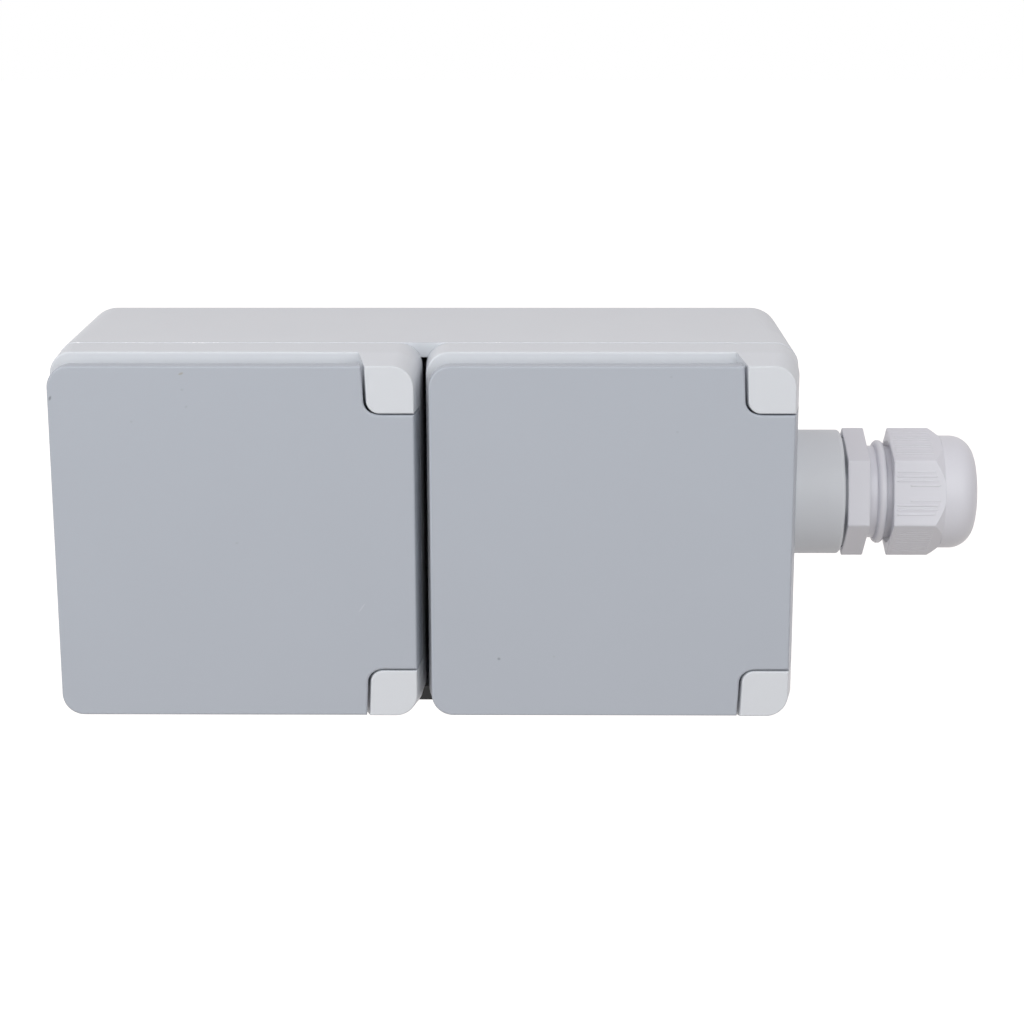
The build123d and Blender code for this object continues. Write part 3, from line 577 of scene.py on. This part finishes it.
def wire_mesh(name: str, path: list[Vector], radius: float, sides: int = 8) -> bpy.types.Mesh:
    """Sweeps a round wire along a path.

    Args:
        name: Name of the mesh.
        path: Points of the wire's middle line.
        radius: Radius of the wire.
        sides: Facets round the wire.

    Returns:
        A closed tube with smooth sides.
    """
    shape = bmesh.new()
    rings = []
    turns = [2 * math.pi * k / sides for k in range(sides)]
    across = (path[1] - path[0]).orthogonal().normalized()
    for i, point in enumerate(path):
        ahead = path[min(i + 1, len(path) - 1)] - path[max(i - 1, 0)]
        ahead.normalize()
        across = (across - ahead * across.dot(ahead)).normalized()
        up = ahead.cross(across)
        spokes = [across * math.cos(t) + up * math.sin(t) for t in turns]
        rings.append([shape.verts.new(point + radius * spoke) for spoke in spokes])
    for low, high in zip(rings, rings[1:]):
        for k in range(sides):
            side = shape.faces.new((low[k], low[(k + 1) % sides], high[(k + 1) % sides], high[k]))
            side.smooth = True
    shape.faces.new(reversed(rings[0]))
    shape.faces.new(rings[-1])
    mesh = bpy.data.meshes.new(name)
    shape.to_mesh(mesh)
    shape.free()
    return mesh


@dataclass
class LeanedEnd:
    """The left end of the box and of its cover frame, whose wall leans in towards the front.

    Attributes:
        nodes: The solids that make up the end.
        lean: How much farther in the end lies at the seam than at the wall.
        front_lean: The same at the frame's ledge and before it.
        root: Where the end's round corners begin, along X.
        tip: From where on the end leans in full.
        seam: Where the seam between frame and box lies, along Y.
        ledge: Where the frame's ledge lies, along Y.
    """

    nodes: tuple[str, ...] = ("back_box", "cover_frame_left")
    lean: float = 1.05 * MM
    front_lean: float = 0.45 * MM
    root: float = -69.5 * MM
    tip: float = -75.0 * MM
    seam: float = -42.0 * MM
    ledge: float = -49.4 * MM

    def build(self, material: bpy.types.Material) -> None:
        """Leans copies of the solids' meshes, which stand for them.

        Args:
            material: Finish of the box and the frames.
        """
        for node in self.nodes:
            mesh = frame["nodes"][node].data.copy()
            mesh.name = f"{node}_leaned"
            mesh.materials.clear()
            for vertex in mesh.vertices:
                vertex.co.x += self.inset(vertex.co)
            piece = piece_of(f"{node}_leaned", mesh, material)
            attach(piece, "housing")
            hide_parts(node)

    def inset(self, point: Vector) -> float:
        """Gives how far a point moves in along X.

        Args:
            point: A point of the end, as the solids have it.

        Returns:
            The lean at the end, growing from the wall to the seam and easing to the frame's ledge.
        """
        aside = share_between(point.x, self.root, self.tip)
        ahead = share_between(point.y, 0.0, self.seam)
        eased = share_between(point.y, self.seam, self.ledge)
        return aside * (ahead * self.lean + eased * (self.front_lean - self.lean))


@dataclass
class ReturnSpring:
    """The wound spring that shuts a lid: a tang in the hinge pin, a coil round it and a leg on the lid.

    Attributes:
        side: Module that it belongs to.
        wire: Diameter of the wire.
        leg_depth: The leg's place in front of the hinge axis.
        spare: Room between neighbouring turns, as a share of the wire.
        turn_steps: Points of the middle line in one turn.
    """

    side: Side
    wire: float = 0.6 * MM
    leg_depth: float = 1.25 * MM
    spare: float = 0.1
    turn_steps: int = 20

    def build(self, material: bpy.types.Material) -> None:
        """Winds the wire in one piece that twists between the pin and the lid.

        Args:
            material: Finish of the wire.
        """
        node = f"return_spring_{self.side.value}"
        lid = f"lid_{self.side.value}"
        axis = Vector(next(j for j in frame["joints"] if j["child"] == lid)["pos_m"])
        low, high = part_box(node)
        radius = high.x - axis.x - self.wire / 2
        reach = (high.z - low.z - self.wire) / 2
        leave = math.pi - math.asin(self.leg_depth / radius)
        turns = round(2 * reach / (self.wire * (1 + self.spare)))
        coil = self.turn_points(axis, radius, reach, 2 * math.pi * turns + leave)
        tang = axis + Vector((self.wire / 2, 0, -reach))
        leg_end = Vector((low.x, coil[-1].y, coil[-1].z))
        mesh = wire_mesh(f"{node}_wire", [tang, *coil, leg_end], self.wire / 2)
        piece = piece_of(f"{node}_wire", mesh, material)
        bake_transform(piece)
        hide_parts(node)

    def turn_points(self, axis: Vector, radius: float, reach: float, sweep: float) -> list[Vector]:
        """Gives the coil's points, from its foot upwards.

        Args:
            axis: Middle of the hinge axis.
            radius: Radius of the wire's middle line.
            reach: Half the coil's height.
            sweep: Angle of the whole coil in radians.

        Returns:
            The points of the wire's middle line.
        """
        count = int(sweep / (2 * math.pi) * self.turn_steps)
        points = []
        for i in range(count + 1):
            turn = sweep * i / count
            rise = reach * (2 * i / count - 1)
            points.append(axis + Vector((radius * math.cos(turn), -radius * math.sin(turn), rise)))
        return points


@dataclass(frozen=True)
class Rib:
    """One grip rib on a flat of the nut.

    Attributes:
        offset: Its place across the flat, from the middle.
        start: Its inner end, from the nut's inner end.
        end: Its outer end.
        height: How far it stands out of the flat.
    """

    offset: float
    start: float
    end: float
    height: float


@dataclass
class NutRibs:
    """The fine grip ribs moulded on the gland nut's flats.

    Attributes:
        sides: Number of flats.
        bare_every: Counted from the front flat, every so many flats have a bare middle.
        flats: Width of the nut over its flats.
        tilt_deg: How far the front flat's normal points above the front.
        start: Where the ribs begin, from the nut's inner end.
        end: Where the outermost ribs end.
        step: How much farther each rib nearer to a bare middle reaches.
        short_start: Where the ribs next to a bare middle begin.
        rows: Ribs to each side of the middle rib, on a flat that is ribbed all over.
        short_rows: Ribs to each side of a bare middle.
        bare_pitches: Half the bare middle, in pitches.
        pitch: Spacing of the ribs.
        width: Width of a rib.
        taper: Length of a rib's tapered end.
        blunt: Share of its section that a rib keeps at its very end.
        facets: Facets over a rib's round top.
        height: Height of the ribs beside a bare middle.
        full_height: Height of the ribs on a flat that is ribbed all over.
        sink: How far a rib's foot lies in the flat.
    """

    sides: int = 6
    bare_every: int = 3
    flats: float = 24.0 * MM
    tilt_deg: float = 12.0
    start: float = 0.6 * MM
    end: float = 8.9 * MM
    step: float = 0.35 * MM
    short_start: float = 3.4 * MM
    rows: int = 5
    short_rows: int = 4
    bare_pitches: float = 5 / 3
    pitch: float = 0.97 * MM
    width: float = 0.5 * MM
    taper: float = 0.3 * MM
    blunt: float = 0.25
    facets: int = 5
    height: float = 0.11 * MM
    full_height: float = 0.07 * MM
    sink: float = 0.03 * MM

    def build(self, material: bpy.types.Material) -> None:
        """Raises the ribs on all the flats.

        Args:
            material: Finish of the nut.
        """
        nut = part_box("gland_nut")
        axis = Vector(next(j for j in frame["joints"] if j["child"] == "gland_nut")["pos_m"])
        shape = bmesh.new()
        for flat in range(self.sides):
            angle = math.radians(self.tilt_deg + 360 / self.sides * flat)
            out = Vector((0, -math.cos(angle), math.sin(angle)))
            along_flat = Vector((0, math.sin(angle), math.cos(angle)))
            middle = Vector((nut[0].x, axis.y, axis.z)) + out * (self.flats / 2 - self.sink)
            for rib in self.all_over() if flat % self.bare_every else self.beside_bare_middle():
                self.raise_rib(shape, rib, middle, out, along_flat)
        mesh = bpy.data.meshes.new("gland_nut_ribs")
        shape.to_mesh(mesh)
        shape.free()
        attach(piece_of("gland_nut_ribs", mesh, material), "gland_nut")

    def all_over(self) -> list[Rib]:
        """Gives the ribs of a flat that is ribbed all over."""
        rows = range(-self.rows, self.rows + 1)
        return [Rib(row * self.pitch, self.start, self.end, self.full_height) for row in rows]

    def beside_bare_middle(self) -> list[Rib]:
        """Gives the ribs on each side of a bare middle, of which the nearest is short.

        Returns:
            The ribs of the flat.
        """
        ribs = []
        for sign in (-1, 1):
            for row in range(self.short_rows):
                start = self.start if row else self.short_start
                end = self.end + (self.short_rows - 1 - row) * self.step
                ribs.append(Rib(sign * (self.bare_pitches + row) * self.pitch, start, end, self.height))
        return ribs

    def raise_rib(
        self, shape: bmesh.types.BMesh, rib: Rib, middle: Vector, out: Vector, aside: Vector
    ) -> None:
        """Adds one round-topped rib that runs along X and tapers at both ends.

        Args:
            shape: Mesh that the rib goes into.
            rib: The rib.
            middle: Middle of the flat's inner edge, just under its surface.
            out: Direction away from the flat.
            aside: Direction across the rib in the flat.
        """
        inner = [(rib.start, self.blunt), (rib.start + self.taper, 1.0), (rib.start + 2 * self.taper, 1.0)]
        outer = [(rib.end - 2 * self.taper, 1.0), (rib.end - self.taper, 1.0), (rib.end, self.blunt)]
        corners = self.facets + 1
        arc = [math.pi * k / self.facets for k in range(corners)]
        rings = []
        for along, share in inner + outer:
            foot = middle + aside * rib.offset + Vector((along, 0, 0))
            spread = aside * (self.width / 2 * share)
            rise = out * ((rib.height + self.sink) * share)
            rings.append([shape.verts.new(foot + spread * math.cos(t) + rise * math.sin(t)) for t in arc])
        for low, high in zip(rings, rings[1:]):
            for k in range(corners):
                after = (k + 1) % corners
                side = shape.faces.new((low[k], low[after], high[after], high[k]))
                side.smooth = k < self.facets
        shape.faces.new(reversed(rings[0]))
        shape.faces.new(rings[-1])


@dataclass(frozen=True)
class Lamp:
    """A large soft lamp.

    Attributes:
        name: Its name.
        place: Its middle.
        watts: Its power.
        size: Its side.
        colour: sRGB hex value of its light.
    """

    name: str
    place: tuple[float, float, float]
    watts: float
    size: float = 0.5
    colour: str = "FBFFFF"

    def hang(self, aim: Vector) -> None:
        """Hangs the lamp out of the camera's sight and turns it to a point.

        Args:
            aim: The point.
        """
        light = bpy.data.lights.new(self.name, "AREA")
        light.shape = "SQUARE"
        light.size = self.size
        light.energy = self.watts
        light.color = linear(self.colour)[:3]
        holder = bpy.data.objects.new(self.name, light)
        holder.location = self.place
        holder.rotation_euler = (aim - holder.location).to_track_quat("-Z", "Y").to_euler()
        holder.visible_camera = False
        bpy.context.scene.collection.objects.link(holder)


@dataclass
class Studio:
    """A white room with two large soft lamps, in front of the socket to both sides and above it.

    Attributes:
        drop: Height of the socket's underside above the floor.
        floor_size: Side of the floor.
        floor_cells: Cells of its grid along a side.
        floor_roughness: Roughness of its paint.
        floor_colour: sRGB hex value of the floor as the socket's underside sees it.
        floor_glow: Strength that the floor adds where it is seen directly.
        fill: Strength of the room's light on the socket.
        lean: Share by which that light is stronger from the left and weaker from the right.
        fill_colour: sRGB hex value of that light.
        lamps: The lamps.
    """

    drop: float = 0.3
    floor_size: float = 12.0
    floor_cells: int = 8
    floor_roughness: float = 0.8
    floor_colour: str = "AEAAA6"
    floor_glow: float = 0.86
    fill: float = 0.555
    lean: float = 0.2
    fill_colour: str = "FFF7F8"
    lamps: tuple[Lamp, ...] = (
        Lamp("left_lamp", (-0.33, -0.48, 0.25), watts=1.64),
        Lamp("right_lamp", (0.28, -0.54, 0.25), watts=1.27),
    )

    def build(self) -> None:
        """Makes the room, the floor and the lamps."""
        self.light_room()
        self.lay_floor()
        for lamp in self.lamps:
            lamp.hang((CAD_BOX[0] + CAD_BOX[1]) / 2)

    def seen_directly(self, tree: bpy.types.NodeTree) -> bpy.types.NodeSocket:
        """Tells rays that show the background from those that light the socket.

        Args:
            tree: Tree that the test goes into.

        Returns:
            One for camera, glossy and transmission rays, and zero for the others.
        """
        path = add_node(tree, "ShaderNodeLightPath")
        shown = add_node(
            tree,
            "ShaderNodeMath",
            {"operation": "MAXIMUM"},
            {0: path.outputs["Is Camera Ray"], 1: path.outputs["Is Glossy Ray"]},
        )
        clear = add_node(
            tree,
            "ShaderNodeMath",
            {"operation": "MAXIMUM"},
            {0: shown.outputs["Value"], 1: path.outputs["Is Transmission Ray"]},
        )
        return clear.outputs["Value"]

    def light_room(self) -> None:
        """Gives the room a white that is dimmer and warmer as light than it looks."""
        world = bpy.data.worlds.new("white_room")
        world.use_nodes = True
        tree = world.node_tree
        tree.nodes.clear()
        axes = add_node(
            tree,
            "ShaderNodeSeparateXYZ",
            inputs={"Vector": add_node(tree, "ShaderNodeTexCoord").outputs["Generated"]},
        )
        from_right = add_node(
            tree, "ShaderNodeMapRange", inputs={"Value": axes.outputs["X"], "From Min": -1.0}
        )
        light = add_node(
            tree,
            "ShaderNodeMix",
            {"data_type": "RGBA"},
            {
                MIX_SHARE: from_right.outputs["Result"],
                MIX_FROM: linear(self.fill_colour, self.fill * (1 + self.lean)),
                MIX_TO: linear(self.fill_colour, self.fill * (1 - self.lean)),
            },
        )
        room = add_node(
            tree,
            "ShaderNodeMix",
            {"data_type": "RGBA"},
            {
                MIX_SHARE: self.seen_directly(tree),
                MIX_FROM: light.outputs[MIX_RESULT],
                MIX_TO: linear(WHITE),
            },
        )
        glow = add_node(tree, "ShaderNodeBackground", inputs={"Color": room.outputs[MIX_RESULT]})
        add_node(tree, "ShaderNodeOutputWorld", inputs={"Surface": glow.outputs["Background"]})
        bpy.context.scene.world = world

    def lay_floor(self) -> None:
        """Lays a pale painted floor that reads white and keeps the socket's shadow."""
        material = bpy.data.materials.new("painted_floor_white")
        material.use_nodes = True
        tree = material.node_tree
        tree.nodes.clear()
        paint = add_node(
            tree,
            "ShaderNodeBsdfPrincipled",
            inputs={
                "Base Color": linear(self.floor_colour),
                "Roughness": self.floor_roughness,
                "Emission Color": linear(WHITE),
                "Emission Strength": add_node(
                    tree,
                    "ShaderNodeMapRange",
                    inputs={"Value": self.seen_directly(tree), "To Min": 0.0, "To Max": self.floor_glow},
                ).outputs["Result"],
            },
        )
        add_node(tree, "ShaderNodeOutputMaterial", inputs={"Surface": paint.outputs["BSDF"]})
        shape = bmesh.new()
        bmesh.ops.create_grid(
            shape, x_segments=self.floor_cells, y_segments=self.floor_cells, size=self.floor_size / 2
        )
        mesh = bpy.data.meshes.new("floor")
        shape.to_mesh(mesh)
        shape.free()
        mesh.materials.append(material)
        floor = bpy.data.objects.new("floor", mesh)
        floor.location.z = CAD_BOX[0].z - self.drop
        bpy.context.scene.collection.objects.link(floor)


@dataclass
class Viewpoint:
    """The camera in front of the socket, a little above it.

    Attributes:
        place: Where it stands.
        tip_deg: Its tip from straight down.
        pan_deg: Its turn about the vertical.
        roll_deg: Its roll about its own axis.
        lens_mm: Focal length.
        sensor_mm: Width of the sensor.
    """

    place: tuple[float, float, float] = (0.0231, -0.5053, 0.1225)
    tip_deg: float = 75.5
    pan_deg: float = 0.679
    roll_deg: float = -0.107
    lens_mm: float = 82.1
    sensor_mm: float = 36.0

    def build(self) -> None:
        """Sets the camera up as the scene's own."""
        data = bpy.data.cameras.new("camera")
        data.lens = self.lens_mm
        data.sensor_width = self.sensor_mm
        camera = bpy.data.objects.new("camera", data)
        turn = (
            Matrix.Rotation(math.radians(self.pan_deg), 4, "Z")
            @ Matrix.Rotation(math.radians(self.tip_deg), 4, "X")
            @ Matrix.Rotation(math.radians(self.roll_deg), 4, "Z")
        )
        camera.matrix_world = Matrix.Translation(self.place) @ turn
        bpy.context.scene.collection.objects.link(camera)
        bpy.context.scene.camera = camera


def dress_solids(materials: dict[str, bpy.types.Material]) -> None:
    """Gives each solid the finish of its slot.

    Args:
        materials: Materials by slot.
    """
    for part in frame["record"]["subparts"]:
        solid = frame["nodes"][part["node"]]
        solid.data.materials.clear()
        solid.data.materials.append(materials[part["material_slot"]])
        LOG.info("%s has the finish %s", part["node"], part["material_slot"])


def main() -> None:
    """Dresses the socket, adds its fine pieces and sets up the studio."""
    logging.basicConfig(level=logging.INFO, format="%(name)s: %(message)s")
    bpy.context.scene.view_settings.view_transform = "Standard"
    Viewpoint().build()
    Studio().build()
    finishes = {name: value for name, value in vars(Finishes).items() if isinstance(value, Finish)}
    materials = {name: finish.build() for name, finish in finishes.items()}
    dress_solids(materials)
    LeanedEnd().build(materials["body_grey"])
    for side in Side:
        ReturnSpring(side).build(materials["spring_wire"])
    NutRibs().build(materials["gland_grey"])


if __name__ == "__main__":
    main()
